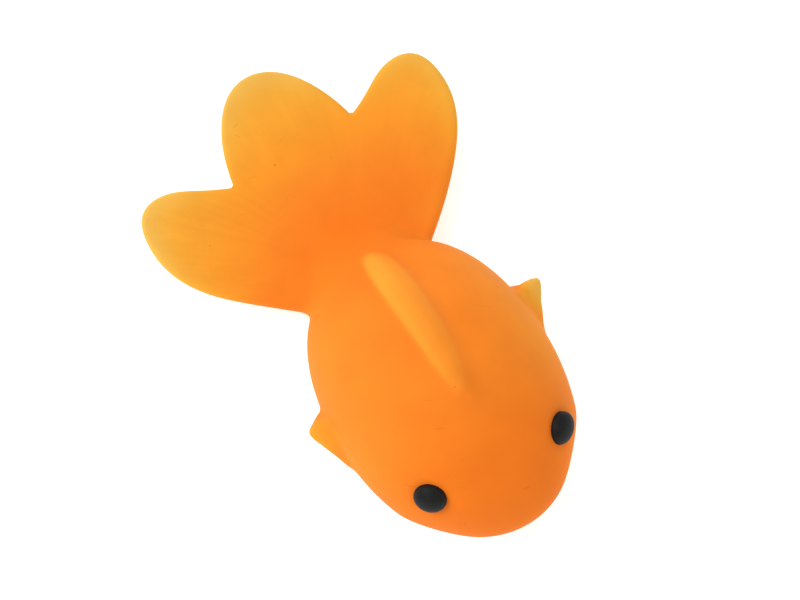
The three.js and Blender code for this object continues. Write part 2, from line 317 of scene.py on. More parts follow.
def outline_distance(plan, outline):
    """Distance of plan points from a closed outline, below zero inside it."""
    nearest = np.full(len(plan), np.inf)
    inside = np.zeros(len(plan), bool)
    for a, b in zip(outline, np.roll(outline, -1, axis=0)):
        run = b - a
        away = plan - a
        t = np.clip(away @ run / (run @ run), 0.0, 1.0)
        off = away - t[:, None] * run
        nearest = np.minimum(nearest, off[:, 0] ** 2 + off[:, 1] ** 2)
        if a[1] != b[1]:
            crosses = (a[1] > plan[:, 1]) != (b[1] > plan[:, 1])
            inside ^= crosses & (plan[:, 0] < a[0] + run[0] * (plan[:, 1] - a[1]) / run[1])
    return np.where(inside, -1.0, 1.0) * np.sqrt(nearest)


def plate_distance(edge, across, rounding):
    """A plate from its plan distance and its distance across, with a rounded edge."""
    a, b = edge + rounding, across + rounding
    outside = np.sqrt(np.maximum(a, 0.0) ** 2 + np.maximum(b, 0.0) ** 2)
    return np.minimum(np.maximum(a, b), 0.0) + outside - rounding


def tail_form(p):
    far = np.full(len(p), FAR)
    near = p[:, 1] > RUMP_Y + TAIL_ROOT[1] - TAIL_MARGIN
    q = p[near]
    edge = outline_distance(q[:, :2], TAIL_OUTLINE)
    reach = np.clip((q[:, 1] - RUMP_Y) / TAIL_REACH, 0.0, 1.0)
    half = between(TAIL_ROOT_THICKNESS, TAIL_TIP_THICKNESS, reach) / 2
    crowned = half * (1.0 - EDGE_THINNING + EDGE_THINNING * ease(-edge, 0.0, CROWN_REACH))
    far[near] = plate_distance(edge, np.abs(q[:, 2] - TAIL_HEIGHT) - crowned, EDGE_ROUNDING * crowned)
    return far


tail_probe = np.array([[0.0, RUMP_Y + TAIL_REACH / 2, TAIL_HEIGHT]])
print("halfway out the tail is", round(-2 * float(tail_form(tail_probe)[0]), 2), "mm thick")

# %% [markdown]
# ## The back fin's rule
#
# The back fin is a low keel that rides on the back, a little fuller towards the tail, with a gentle left
# flank and a steep right one. It could be a separate object stuck on. On the real toy it flows out of the
# body with no joint line, because the mould fills in one shot, so it is one more rule, to be joined with a
# fillet.

# %% Back fin form
KEEL_FRONT_Y = -16.15
KEEL_REAR_Y = 4.0
KEEL_WIDTH = 2.5
KEEL_HEIGHT = 1.85
KEEL_TAPER = 0.12
KEEL_BLUNTNESS = 0.5
KEEL_FLANKS = {1: 1.5, -1: 1.1}
KEEL_MIDDLE_Y = (KEEL_REAR_Y + KEEL_FRONT_Y) / 2
KEEL_HALF_LENGTH = (KEEL_REAR_Y - KEEL_FRONT_Y) / 2


def keel_form(p):
    slide = (KEEL_MIDDLE_Y - p[:, 1]) / KEEL_HALF_LENGTH
    swell = 1.0 - KEEL_TAPER * np.clip(slide, -1.0, 1.0)
    wide = KEEL_WIDTH / 2 * swell * by_side(p[:, 0], KEEL_FLANKS)
    tall = KEEL_HEIGHT * swell
    up = p[:, 2] - back_height(p[:, 1])
    blunt = slide * np.abs(slide) ** KEEL_BLUNTNESS
    egg = egg_distance((p[:, 0] / wide, blunt, up / tall), (wide, KEEL_HALF_LENGTH, tall))
    return np.maximum(egg, (np.abs(slide) - 1.0) * KEEL_HALF_LENGTH)


keel_top = KEEL_HEIGHT + float(back_height(np.array([KEEL_MIDDLE_Y]))[0])
print("the middle of the keel is", round(keel_top, 2), "mm above the table")

# %% [markdown]
# ## The side fins' rule
#
# Each side fin is a small swept flap that tilts up from the widest line of the body. It is thinner in front
# than behind, and it flares where it meets the body. The two aren't quite alike, so each has its own outline
# and place. They could be modelled apart and joined by a Boolean, but that leaves a hard line at the root.

# %% Side fin form
FIN_ROOT = np.array([13.72, -10.5, 6.3])
FIN_TILT = math.radians(24.0)
FIN_FRONT_THICKNESS = 0.6
FIN_REAR_THICKNESS = 1.4
FIN_FRONT = -4.0
FIN_LENGTH = 7.5
FIN_FLARE = 1.5
FIN_OUT = {1: 0.0, -1: -0.15}
FIN_SET_BACK = {1: 0.8, -1: -0.35}
# corners, out from the root line and along it, from the front round the tip to the rear
FIN_OUTLINES = {
    1: [
        (-4.0, -5.0), (-0.9, -3.0), (0.15, -1.6), (1.15, 0.3), (1.8, 1.3), (2.1, 1.95),
        (2.08, 2.35), (1.5, 2.75), (0.7, 2.9), (-0.1, 2.95), (-4.0, 4.5),
    ],
    -1: [
        (-4.0, -5.6), (-0.5, -3.5), (0.4, -1.9), (1.1, -0.4), (1.55, 0.6), (1.7, 1.3),
        (1.5, 1.8), (1.1, 2.1), (0.5, 2.45), (-0.1, 2.85), (-4.0, 4.5),
    ],
}
# points further in than this, or further along, are too far from a fin to matter
FIN_WINDOW = 9.0


def fin_place(p):
    """A point's place on the nearer side fin: out from the root, along the root, and across the flap."""
    out = np.abs(p[:, 0]) - FIN_ROOT[0] - by_side(p[:, 0], FIN_OUT)
    up = p[:, 2] - FIN_ROOT[2]
    return (
        out * math.cos(FIN_TILT) + up * math.sin(FIN_TILT),
        p[:, 1] - FIN_ROOT[1] - by_side(p[:, 0], FIN_SET_BACK),
        up * math.cos(FIN_TILT) - out * math.sin(FIN_TILT),
    )


def fin_form(p):
    far = np.full(len(p), FAR)
    for side, outline in FIN_OUTLINES.items():
        near = (side * p[:, 0] > FIN_WINDOW) & (np.abs(p[:, 1] - FIN_ROOT[1]) < FIN_WINDOW)
        out, along, across = fin_place(p[near])
        edge = outline_distance(np.stack([out, along], axis=1), np.array(outline))
        share = np.clip((along - FIN_FRONT) / FIN_LENGTH, 0.0, 1.0)
        half = between(FIN_FRONT_THICKNESS, FIN_REAR_THICKNESS, share) / 2
        above = (across - half - FIN_FLARE * np.maximum(-edge, 0.0)) / math.hypot(1.0, FIN_FLARE)
        far[near] = plate_distance(edge, np.maximum(above, -across - half), EDGE_ROUNDING * half)
    return far


print("fin tips stand", [max(out for out, _ in o) for o in FIN_OUTLINES.values()], "mm out of their roots")

# %% [markdown]
# ## One skin from all the rules
#
# Where the body meets the tail the rubber eases from one into the other over several millimetres along the
# middle, and turns a tight corner at the sides. The keel and the side fins also have a wide and a tight side.
# Booleans with a bevel could join solid pieces, but with one width all round. Joining the rules instead lets
# each fillet's reach change from place to place.

# %% Skin form
TAIL_FILLET_MIDDLE = 6.0
TAIL_FILLET_SIDES = {1: 1.3, -1: 1.8}
# minus the distance from the middle line: where the tail's fillet starts to widen, and where it is widest
TAIL_FILLET_BAND = (-7.5, -2.0)
KEEL_FILLETS = {1: 2.2, -1: 0.7}
KEEL_CREST = 0.8
FIN_FILLET = 1.3
FIN_NOTCH_FILLET = 0.5
FIN_NOTCH_BAND = (1.5, 2.9)


def smooth_skin(p):
    p = p - lean(p)
    at_middle = ease(-np.abs(p[:, 0]), *TAIL_FILLET_BAND)
    tail_fillet = between(by_side(p[:, 0], TAIL_FILLET_SIDES), TAIL_FILLET_MIDDLE, at_middle)
    keel_fillet = between(KEEL_FILLETS[-1], KEEL_FILLETS[1], ease(p[:, 0], -KEEL_CREST, KEEL_CREST))
    fin_fillet = between(FIN_FILLET, FIN_NOTCH_FILLET, ease(fin_place(p)[1], *FIN_NOTCH_BAND))
    skin = soft_join(body_form(p), tail_form(p), tail_fillet)
    skin = soft_join(skin, keel_form(p), keel_fillet)
    return soft_join(skin, fin_form(p), fin_fillet)


print("at the body's back, side and nose the joined rule reads", np.round(smooth_skin(probe), 2))

# %% [markdown]
# ## Seats for the eyes
#
# The eyes are bonded to the sides of the head, square to the skin, which is pressed in a little round each of
# them. Their places come from the photograph. A Shrinkwrap constraint could bring an eye down to a finished
# mesh. The rule does it without one: the spot slides along the rule's slope until it lies on the surface, and
# the slope there is the way that the eye faces.

# %% Eye seats
EYE_PLACES = {1: (8.42, -24.3, 12.7), -1: (-8.05, -23.35, 12.95)}
EYE_RADIUS = 1.86
EYE_RING_DEPTH = 0.16
EYE_RING_WIDTH = 0.45
SEAT_ROUNDS = 4
SLOPE_STEP = 0.02


def form_slope(form, p):
    """A form's distance and its slope, from four readings round each point."""
    corners = np.array([(1, -1, -1), (-1, -1, 1), (-1, 1, -1), (1, 1, 1)], float)
    readings = [form(p + SLOPE_STEP * c) for c in corners]
    slope = sum(r[:, None] * c for r, c in zip(readings, corners)) / (4 * SLOPE_STEP)
    return sum(readings) / 4, slope


eye_seats = {}
for side, spot in EYE_PLACES.items():
    seat = np.array([spot])
    for _ in range(SEAT_ROUNDS):
        gap, slope = form_slope(smooth_skin, seat)
        seat = seat - slope * (gap / (slope**2).sum(axis=1))[:, None]
    eye_seats[side] = (Vector(seat[0]), Vector(slope[0]).normalized())
    print("eye seat", np.round(seat[0], 2), "faces", np.round(slope[0] / np.linalg.norm(slope[0]), 2))


def skin_form(p):
    """The whole skin, with a shallow ring pressed in round each eye."""
    skin = smooth_skin(p)
    for centre, _ in eye_seats.values():
        ring = (np.sqrt(((p - np.array(centre)) ** 2).sum(axis=1)) - EYE_RADIUS) / EYE_RING_WIDTH
        skin = skin + EYE_RING_DEPTH * np.exp(-ring * ring)
    return skin


# %% [markdown]
# ## Two kinds of blank
#
# A rule has no points of its own, so a blank that is roughly right has to give them. The rounded parts, which
# are the body and the keel, are rings of points between two poles, and the flat ones are prisms. A sphere and
# an extruded face from Blender's own shapes could serve too, but these two also make the hollow and the
# filling later on.

# %% Kinds of blank
def rounded_blank(target, place, rings, sides):
    """A closed form in target, a bmesh, from place(angle, turn); angle runs from one pole to the other."""
    grid = []
    for ring in range(1, rings):
        angle = math.pi * ring / rings
        grid.append([target.verts.new(place(angle, 2 * math.pi * side / sides)) for side in range(sides)])
    first, last = target.verts.new(place(0.0, 0.0)), target.verts.new(place(math.pi, 0.0))
    made = []
    for side in range(sides):
        after = (side + 1) % sides
        made.append(target.faces.new((first, grid[0][side], grid[0][after])))
        made.append(target.faces.new((last, grid[-1][after], grid[-1][side])))
        for lower, upper in zip(grid, grid[1:]):
            made.append(target.faces.new((lower[side], upper[side], upper[after], lower[after])))
    return made


def body_point(angle, turn, inset=0.0):
    slide = math.cos(angle)
    level, wide, back, belly = body_section(slide, inset)
    up = math.sin(turn) * (back if math.sin(turn) > 0 else belly) * math.sin(angle)
    y = MIDDLE_Y - (HALF_LENGTH - inset) * slide
    x = wide * math.sin(angle) * math.cos(turn)
    return (x + float(lean(np.array([[x, y, 0.0]]))[0, 0]), y, max(level + up, inset))


def prism_blank(target, corners_low, corners_high):
    """A closed prism in target from two rings of corners."""
    low = [target.verts.new(c) for c in corners_low]
    high = [target.verts.new(c) for c in corners_high]
    target.faces.new(low[::-1])
    target.faces.new(high)
    for i, j in zip(range(len(low)), [*range(1, len(low)), 0]):
        target.faces.new((low[i], low[j], high[j], high[i]))


print("the body's blank starts at", [round(c, 2) for c in body_point(0.0, 0.0)], "mm")

# %% [markdown]
# ## A blank, remeshed
#
# Body, keel, tail and side fins go into one mesh as they are, each running into the next. A Boolean union
# would merge them and leave long thin faces. A Remesh modifier in voxel mode covers the lot with one even
# skin instead and drops what lies inside.

# %% Blank
VOXEL = 0.36
BLANK_RINGS = 40
BLANK_SIDES = 48
TAIL_BLANK_HALF = TAIL_ROOT_THICKNESS / 2.4
FIN_BLANK_HALF = 0.45
FIN_BLANK_FLARE = 0.8
FIN_BLANK_TIP = 1.85


def keel_point(angle, turn):
    slide = math.cos(angle)
    y = KEEL_MIDDLE_Y - KEEL_HALF_LENGTH * slide
    swell = math.sin(angle) * (1 - KEEL_TAPER * slide)
    up = float(back_height(np.array([y]))[0]) + KEEL_HEIGHT * swell * math.sin(turn)
    return (KEEL_WIDTH / 2 * swell * math.cos(turn), y, up)


def fin_corners(side, across, flare):
    """The corners of a side fin's blank on one face, which rises towards the root by flare."""
    corners = []
    for out, along in FIN_OUTLINES[side]:
        high = across + flare * (FIN_BLANK_TIP - out)
        x = FIN_ROOT[0] + FIN_OUT[side] + out * math.cos(FIN_TILT) - high * math.sin(FIN_TILT)
        z = FIN_ROOT[2] + out * math.sin(FIN_TILT) + high * math.cos(FIN_TILT)
        corners.append((side * x, FIN_ROOT[1] + FIN_SET_BACK[side] + along, z))
    return corners


blank = bmesh.new()
rounded_blank(blank, body_point, BLANK_RINGS, BLANK_SIDES)
rounded_blank(blank, keel_point, BLANK_RINGS // 2, BLANK_SIDES // 2)
prism_blank(
    blank,
    [(float(x), float(y), TAIL_HEIGHT - TAIL_BLANK_HALF) for x, y in TAIL_OUTLINE],
    [(float(x), float(y), TAIL_HEIGHT + TAIL_BLANK_HALF) for x, y in TAIL_OUTLINE],
)
for side in (1, -1):
    fin_low = fin_corners(side, -FIN_BLANK_HALF, 0.0)
    fin_high = fin_corners(side, FIN_BLANK_HALF, FIN_BLANK_FLARE)
    prism_blank(blank, fin_low, fin_high)
bmesh.ops.recalc_face_normals(blank, faces=blank.faces[:])
blank_mesh = bpy.data.meshes.new("skin_blank")
blank.to_mesh(blank_mesh)
blank.free()
whole = bpy.data.objects.new("skin_whole", blank_mesh)
scene.collection.objects.link(whole)
remesh = whole.modifiers.new("even skin", "REMESH")
remesh.mode = "VOXEL"
remesh.voxel_size = VOXEL
remeshed = bpy.data.meshes.new_from_object(whole.evaluated_get(bpy.context.evaluated_depsgraph_get()))
whole.modifiers.remove(remesh)
whole.data = remeshed
print("blank skin:", len(remeshed.vertices), "points,", len(remeshed.polygons), "faces")

# %% [markdown]
# ## Settling the skin on its rule
#
# Each point now slides along the slope of the rule until it lies on the surface. In the first rounds every
# point also moves halfway to the middle of its neighbours, which evens out the mesh before the last rounds
# set it exactly. A Shrinkwrap modifier could do something like this, but it needs a finished mesh to aim at.

# %% Settle
EVENING_ROUNDS = 6
SETTLING_ROUNDS = 10
LONGEST_STEP = 0.5
LEAST_SLOPE = 1e-6

count = len(remeshed.vertices)
points = np.empty(count * 3)
remeshed.vertices.foreach_get("co", points)
points = points.reshape(-1, 3)
ends = np.empty(len(remeshed.edges) * 2, int)
remeshed.edges.foreach_get("vertices", ends)
ends = ends.reshape(-1, 2)
both = np.concatenate([ends, ends[:, ::-1]])
neighbours = np.bincount(both[:, 0], minlength=count)[:, None]
for round_number in range(SETTLING_ROUNDS):
    if round_number < EVENING_ROUNDS:
        middle = np.stack([np.bincount(both[:, 0], points[both[:, 1], k], count) for k in range(3)], axis=1)
        points += 0.5 * (middle / neighbours - points)
    gap, slope = form_slope(skin_form, points)
    move = slope * (gap / np.maximum((slope**2).sum(axis=1), LEAST_SLOPE))[:, None]
    length = np.sqrt((move**2).sum(axis=1))[:, None]
    points -= move * np.minimum(1.0, LONGEST_STEP / np.maximum(length, TINY))
gap, slope = form_slope(skin_form, points)
remeshed.vertices.foreach_set("co", (points * MM).ravel())
remeshed.update()
print("furthest point from the rule:", round(float(np.abs(gap).max()), 4), "mm")
print("skin box:", np.round(points.min(axis=0), 2), np.round(points.max(axis=0), 2), "mm")

# %% [markdown]
# ## Where the rubber looks thin
#
# Where the rubber is thin, more light comes through it and the orange turns yellow: towards the ends of the
# lobes and the tips of the side fins. Subsurface scattering could show that, but it is slow and the export
# can't keep it. So the skin carries this painted glow as a value on its points, `thin`, which runs from 0,
# deep orange, to 1, pale yellow. The same value also carries painted shade and painted light. The head and
# rump are deeper, partly for their thick rubber and partly as painted shade: the head lies away from the
# light, and the rump in the crease before the tail. The lobe that lies away from the light is painted deeper.
# The flanks are painted paler, the shaded left one most, and the left side fin is painted paler than the
# right.

# %% Thinness
BODY_THIN = 0.24
# painted shade: the head is deeper orange, partly for its thick rubber and partly because it lies away from
# the light
HEAD_THICK_AND_SHADED = 0.2
# painted shade: the rump is deeper orange, partly for its thick rubber and partly as shade in the crease
# before the tail
RUMP_THICK_AND_SHADED = 0.16
# painted light: the flanks are painted paler, the shaded left one most
FLANK_PAINTED_LIGHT = {1: 0.12, -1: 0.02}
TIP_THIN = 0.88
# painted shade on the left lobe, which lies away from the light
LEFT_LOBE_PAINTED_SHADE = 0.11
TIP_EDGE_PALER = 0.14
# painted glow of light through the thin side fins, and painted light that makes the shaded left fin paler than
# the right
FIN_PAINTED_GLOW = {1: 0.9, -1: 0.55}
ROOT_CENTRE_Y = 5.0
THINNING_FROM = 3.0
THINNING_OVER = 22.0
INNER_EDGE = 9.0
NEAR_FIN_ALONG = 5.0
NEAR_FIN_ACROSS = 3.0
NEAR_FIN_X = 11.0

true = points - lean(points)
x, y = true[:, 0], true[:, 1]
on_tail = y > RUMP_Y - 1.0
edge_in = np.full(count, INNER_EDGE)
edge_in[on_tail] = -outline_distance(true[on_tail, :2], TAIL_OUTLINE)
from_root = np.hypot(x, y - ROOT_CENTRE_Y)
tail_share = ease(y, RUMP_Y, RUMP_Y + 4.0)
# each ease below says between which two places, in millimetres, a change of colour lies
rump = ease(y, -5.0, 3.0) * (1.0 - 0.8 * ease(np.abs(x), 2.0, 8.0))
# painted shade on the head and in the rump's crease, over the glow of the thin rubber
body_glow_and_shade = BODY_THIN - HEAD_THICK_AND_SHADED * ease(-y, 14.0, 25.0) - RUMP_THICK_AND_SHADED * rump
# painted light on the flanks, more on the shaded left
for side, paler in FLANK_PAINTED_LIGHT.items():
    body_glow_and_shade += paler * ease(side * x, 5.0, 12.0)
thinning = np.clip((from_root - THINNING_FROM) / THINNING_OVER, 0.0, 1.0)
# painted shade deepens the left lobe
tail_thin = TIP_THIN * thinning - LEFT_LOBE_PAINTED_SHADE * ease(x, 3.0, 12.0)
tail_thin += TIP_EDGE_PALER * ease(-edge_in, -3.5, 0.0) * ease(from_root, 15.0, 22.0)
fin_out, fin_along, fin_across = fin_place(true)
near_fin = (np.abs(fin_along) < NEAR_FIN_ALONG) & (np.abs(fin_across) < NEAR_FIN_ACROSS)
near_fin &= np.abs(x) > NEAR_FIN_X
# painted glow on the side fins, painted paler on the shaded left
fin_painted_glow = by_side(x, FIN_PAINTED_GLOW) * ease(fin_out, -1.3, 1.6)
# thin holds the painted glow together with the painted shade and painted light worked out above
thin = np.maximum(between(body_glow_and_shade, tail_thin, tail_share), np.where(near_fin, fin_painted_glow, 0.0))
print("thin runs from", round(float(thin.min()), 2), "to", round(float(thin.max()), 2))

# %% [markdown]
# ## Where the keel and the rays are
#
# Three more values go on the points. `ridge` marks the back fin, which is also thin and pale, most of all on
# its lit flank and towards the tail. `ray_turn` is a point's angle in the tail's fan and `fan` says how
# strongly the rays show there: not at the root, not at the very edge, and best on the fish's right. They
# could be painted by hand as vertex colours, but the rules already know these places.

# %% Ridge and rays
FAN_CENTRE_Y = 3.0
SHADED_FLANK_LOSS = 0.4
RIDGE_FRONT = 0.45
RIDGE_LOWEST = 9.0
LEFT_RAYS = 0.4

keel_gap = body_form(true) - keel_form(true)
to_tail = ease(y, KEEL_FRONT_Y - 0.5, KEEL_REAR_Y - 6.0)
lit = 1.0 - SHADED_FLANK_LOSS * ease(x, 0.2, 1.3)
ridge = ease(keel_gap, -0.15, 0.8) * lit * between(RIDGE_FRONT, 1.0, to_tail) * (true[:, 2] > RIDGE_LOWEST)
ray_turn = np.arctan2(x, np.maximum(y - FAN_CENTRE_Y, 0.5))
to_right = between(LEFT_RAYS, 1.0, ease(-ray_turn, 0.1, 0.6))
fan = ease(from_root, 7.0, 13.0) * ease(edge_in, 0.3, 2.2) * tail_share * to_right
for name, values in (("thin", thin), ("ridge", ridge), ("ray_turn", ray_turn), ("fan", fan)):
    layer = remeshed.attributes.new(name, "FLOAT", "POINT")
    layer.data.foreach_set("value", values.astype(np.float32))
    print(name, "reaches", round(float(values.max()), 2))

# %% [markdown]
# ## Nodes and colours
#
# Four helpers serve the materials. One turns a hex colour, as a painter would pick it from a screen, into the
# linear numbers that Blender's shaders work in. One adds a node with its settings and links. One starts a
# material, with a point's place in millimetres at hand, so that a pattern's scale is one over its real size.
# The last lays out an uneven surface, where the same patches differ in colour, in gloss and in height. A Mix
# node has its sockets once for each kind of value, so its colour sockets go by number.

# %% Helpers for nodes
MIX_A = 6
MIX_B = 7
MIX_RESULT = 2


def linear(hex_colour):
    """A linear colour with alpha from an sRGB hex value."""
    parts = [int(hex_colour[i : i + 2], 16) / 255 for i in (1, 3, 5)]
    return (*[c / 12.92 if c <= 0.04045 else ((c + 0.055) / 1.055) ** 2.4 for c in parts], 1.0)


def add(tree, kind, inputs=None, stops=(), **settings):
    """A new node; inputs gives each socket a value or a socket to link from, stops a ramp's colours."""
    node = tree.nodes.new(kind)
    for name, value in settings.items():
        setattr(node, name, value)
    for name, value in (inputs or {}).items():
        if isinstance(value, bpy.types.NodeSocket):
            tree.links.new(value, node.inputs[name])
        else:
            node.inputs[name].default_value = value
    for index, (place, hex_colour) in enumerate(stops):
        elements = node.color_ramp.elements
        element = elements[index] if index < len(elements) else elements.new(place)
        element.position = place
        element.color = linear(hex_colour)
    return node


def new_material(name):
    """A material with an empty tree, that tree, and its socket for a point's place in millimetres."""
    material = bpy.data.materials.new(name)
    material.use_nodes = True
    tree = material.node_tree
    tree.nodes.clear()
    place = add(tree, "ShaderNodeTexCoord").outputs["Object"]
    in_mm = add(tree, "ShaderNodeMapping", {"Vector": place, "Scale": (1 / MM,) * 3}).outputs["Vector"]
    return material, tree, in_mm


def patchy_surface(tree, in_mm, size, detail, colours, patch, rough, relief, depth):
    """Patches of a size in millimetres, as the shader's inputs for colour, roughness and normal."""
    patches = add(tree, "ShaderNodeTexNoise", {"Vector": in_mm, "Scale": 1 / size, "Detail": detail})
    value = patches.outputs["Fac"]
    stops = list(zip((0.3, 0.7), colours))
    colour = add(tree, "ShaderNodeValToRGB", {"Fac": value}, stops)
    limits = {"From Min": patch[0], "From Max": patch[1], "To Min": rough[0], "To Max": rough[1]}
    dull = add(tree, "ShaderNodeMapRange", {"Value": value, **limits})
    bump = add(tree, "ShaderNodeBump", {"Strength": relief, "Distance": depth * MM, "Height": value})
    return {
        "Base Color": colour.outputs["Color"],
        "Roughness": dull.outputs["Result"],
        "Normal": bump.outputs["Normal"],
    }


print("rubber orange is", [round(c, 3) for c in linear("#F98A2B")], "in linear light")

# %% [markdown]
# ## Moulded soft rubber: colour
#
# The skin is a thermoplastic rubber, moulded against a fine matt steel surface. To the eye it is a deep, even
# orange that turns yellow where it is thin, with a waxy, nearly shadowless look and no hard highlight. One
# flat colour would look like plastic. So the colour follows the values on the skin's points, which hold its
# painted glow, painted shade and painted light, with a faint mottling of 5 mm over all of it and faint streaks
# along the tail's rays.

# %% Rubber colour
MOTTLE_SIZE = 5.0
STREAK_STRETCH = (26.0, 2.2, 1.0)

rubber, tree, in_mm = new_material("tpr_rubber_moulded_matt")
thin_value, ridge_value, turn_value, fan_value = (
    add(tree, "ShaderNodeAttribute", attribute_name=name).outputs["Fac"]
    for name in ("thin", "ridge", "ray_turn", "fan")
)
# the ramp turns the painted glow, painted shade and painted light on the points into colour
depth_ramp = add(
    tree,
    "ShaderNodeValToRGB",
    {"Fac": thin_value},
    stops=[(0.0, "#F57D1C"), (0.24, "#F88B26"), (0.48, "#F89F2C"), (0.74, "#F5B03A"), (1.0, "#F0BE56")],
)
ridged = add(
    tree,
    "ShaderNodeMix",
    {"Factor": ridge_value, MIX_A: depth_ramp.outputs["Color"], MIX_B: linear("#F9A032")},
    data_type="RGBA",
)
mottle = add(tree, "ShaderNodeTexNoise", {"Vector": in_mm, "Scale": 1 / MOTTLE_SIZE, "Detail": 3.0})
mottle_ramp = add(
    tree,
    "ShaderNodeValToRGB",
    {"Fac": mottle.outputs["Fac"]},
    stops=[(0.3, "#F8F4EE"), (0.7, "#FFFFFF")],
)
mottled = add(
    tree,
    "ShaderNodeMix",
    {"Factor": 1.0, MIX_A: ridged.outputs[MIX_RESULT], MIX_B: mottle_ramp.outputs["Color"]},
    data_type="RGBA",
    blend_type="MULTIPLY",
)
streak_place = add(tree, "ShaderNodeCombineXYZ", {"X": turn_value, "Y": thin_value}).outputs["Vector"]
streak_run = add(tree, "ShaderNodeMapping", {"Vector": streak_place, "Scale": STREAK_STRETCH})
streaks = add(
    tree, "ShaderNodeTexNoise", {"Vector": streak_run.outputs["Vector"], "Scale": 1.0, "Detail": 2.0}
)
streak_ramp = add(
    tree,
    "ShaderNodeValToRGB",
    {"Fac": streaks.outputs["Fac"]},
    stops=[(0.32, "#FBF8F3"), (0.68, "#FFFFFF")],
)
streaked = add(
    tree,
    "ShaderNodeMix",
    {"Factor": fan_value, MIX_A: mottled.outputs[MIX_RESULT], MIX_B: streak_ramp.outputs["Color"]},
    data_type="RGBA",
    blend_type="MULTIPLY",
)
print("the rubber's plain colour takes", len(tree.nodes), "nodes")

# %% [markdown]
# ## Moulded soft rubber: lint
#
# Soft rubber is slightly oily, so it picks up lint in use. Lint could be scattered as tiny meshes, but it
# lies too flat to show an outline, so it is drawn in the colour. Specks up to 0.16 mm in radius sit in the
# middles of Voronoi cells of 2.6 mm, and only some cells have one.

# %% Rubber lint
SPECK_SPACING = 2.6
SPECK_RADIUS = 0.16
SPECK_RARENESS = 0.45
SPECK_STRENGTH = 0.42

specks = add(tree, "ShaderNodeTexVoronoi", {"Vector": in_mm, "Scale": 1 / SPECK_SPACING})
speck_pick = add(tree, "ShaderNodeSeparateColor", {"Color": specks.outputs["Color"]})
speck_reach = add(
    tree,
    "ShaderNodeMapRange",
    {
        "Value": speck_pick.outputs["Red"],
        "From Min": SPECK_RARENESS,
        "From Max": 1.0,
        "To Min": 0.0,
        "To Max": SPECK_RADIUS / SPECK_SPACING,
    },
)
in_speck = add(
    tree,
    "ShaderNodeMath",
    {0: specks.outputs["Distance"], 1: speck_reach.outputs["Result"]},
    operation="LESS_THAN",
)
speck_part = add(
    tree, "ShaderNodeMath", {0: in_speck.outputs["Value"], 1: SPECK_STRENGTH}, operation="MULTIPLY"
)
specked = add(
    tree,
    "ShaderNodeMix",
    {"Factor": speck_part.outputs["Value"], MIX_A: streaked.outputs[MIX_RESULT], MIX_B: linear("#A85A1C")},
    data_type="RGBA",
)
print("specks lie in", round(100 * (1 - SPECK_RARENESS)), "percent of the cells")

# %% [markdown]
# ## Moulded soft rubber: hairlines
#
# A soft toy also gets fine scratches, and fibres stick to it. They could be curves on the surface, but they
# are thinner than the mesh is fine, so they too are drawn in the colour. Hairlines run where a slow noise of
# 5.5 mm is very near to its middle value, and a second noise keeps only short lengths of them.

# %% Rubber hairlines
HAIRLINE_SIZE = 5.5
HAIRLINE_NEARNESS = 0.003
HAIRLINE_LENGTH = 1.6
HAIRLINE_RARENESS = 0.66
HAIRLINE_STRENGTH = 0.2

hair = add(
    tree,
    "ShaderNodeTexNoise",
    {"Vector": in_mm, "Scale": 1 / HAIRLINE_SIZE, "Detail": 0.5, "Distortion": 0.3},
)
hair_break = add(tree, "ShaderNodeTexNoise", {"Vector": in_mm, "Scale": 1 / HAIRLINE_LENGTH, "Detail": 0.0})
hair_kept = add(
    tree, "ShaderNodeMath", {0: hair_break.outputs["Fac"], 1: HAIRLINE_RARENESS}, operation="GREATER_THAN"
)
hair_part = hair.outputs["Fac"]
for operation, second in (
    ("SUBTRACT", 0.5),
    ("ABSOLUTE", 0.5),
    ("LESS_THAN", HAIRLINE_NEARNESS),
    ("MULTIPLY", hair_kept.outputs["Value"]),
    ("MULTIPLY", HAIRLINE_STRENGTH),
):
    hair_part = add(tree, "ShaderNodeMath", {0: hair_part, 1: second}, operation=operation).outputs["Value"]
marked = add(
    tree,
    "ShaderNodeMix",
    {"Factor": hair_part, MIX_A: specked.outputs[MIX_RESULT], MIX_B: linear("#B8621E")},
    data_type="RGBA",
)
print("the rubber's marked colour takes", len(tree.nodes), "nodes")

# %% [markdown]
# ## Moulded soft rubber: surface
#
# The matt mould leaves a very fine grain, and handling polishes some places a little. The grain could be a
# displacement of the mesh, but it is far finer than the mesh's faces, so it is bump: 0.25 mm wide, as coarse
# as it needs to be to show, and 0.02 mm deep. The gloss is low, because the oily film is thin and uneven.

# %% Rubber surface
GRAIN_SIZE = 0.25
GRAIN_DEPTH = 0.02

polish = add(
    tree,
    "ShaderNodeMapRange",
    {"Value": mottle.outputs["Fac"], "From Min": 0.3, "From Max": 0.7, "To Min": 0.64, "To Max": 0.76},
)
grain = add(tree, "ShaderNodeTexNoise", {"Vector": in_mm, "Scale": 1 / GRAIN_SIZE, "Detail": 2.0})
grain_bump = add(
    tree, "ShaderNodeBump", {"Strength": 0.12, "Distance": GRAIN_DEPTH * MM, "Height": grain.outputs["Fac"]}
)
shader = add(
    tree,
    "ShaderNodeBsdfPrincipled",
    {
        "Base Color": marked.outputs[MIX_RESULT],
        "Roughness": polish.outputs["Result"],
        "Normal": grain_bump.outputs["Normal"],
        "Diffuse Roughness": 0.35,
        "IOR": 1.5,
        "Specular IOR Level": 0.08,
    },
)
add(tree, "ShaderNodeOutputMaterial", {"Surface": shader.outputs["BSDF"]})
print(rubber.name, "has", len(tree.nodes), "nodes")

# %% [markdown]
# ## Rays in the tail
#
# Fine rays fan out over the tail, each only a few hundredths of a millimetre deep. They could be drawn in the
# bump alone, but a shape that shows belongs in the mesh. The rays repeat at equal angles and follow the
# surface, which is work for Geometry Nodes: the tree moves each point along its normal by a wave of the
# point's place in the fan. Its sizes are named inputs, so a deeper or finer tail is one number away.

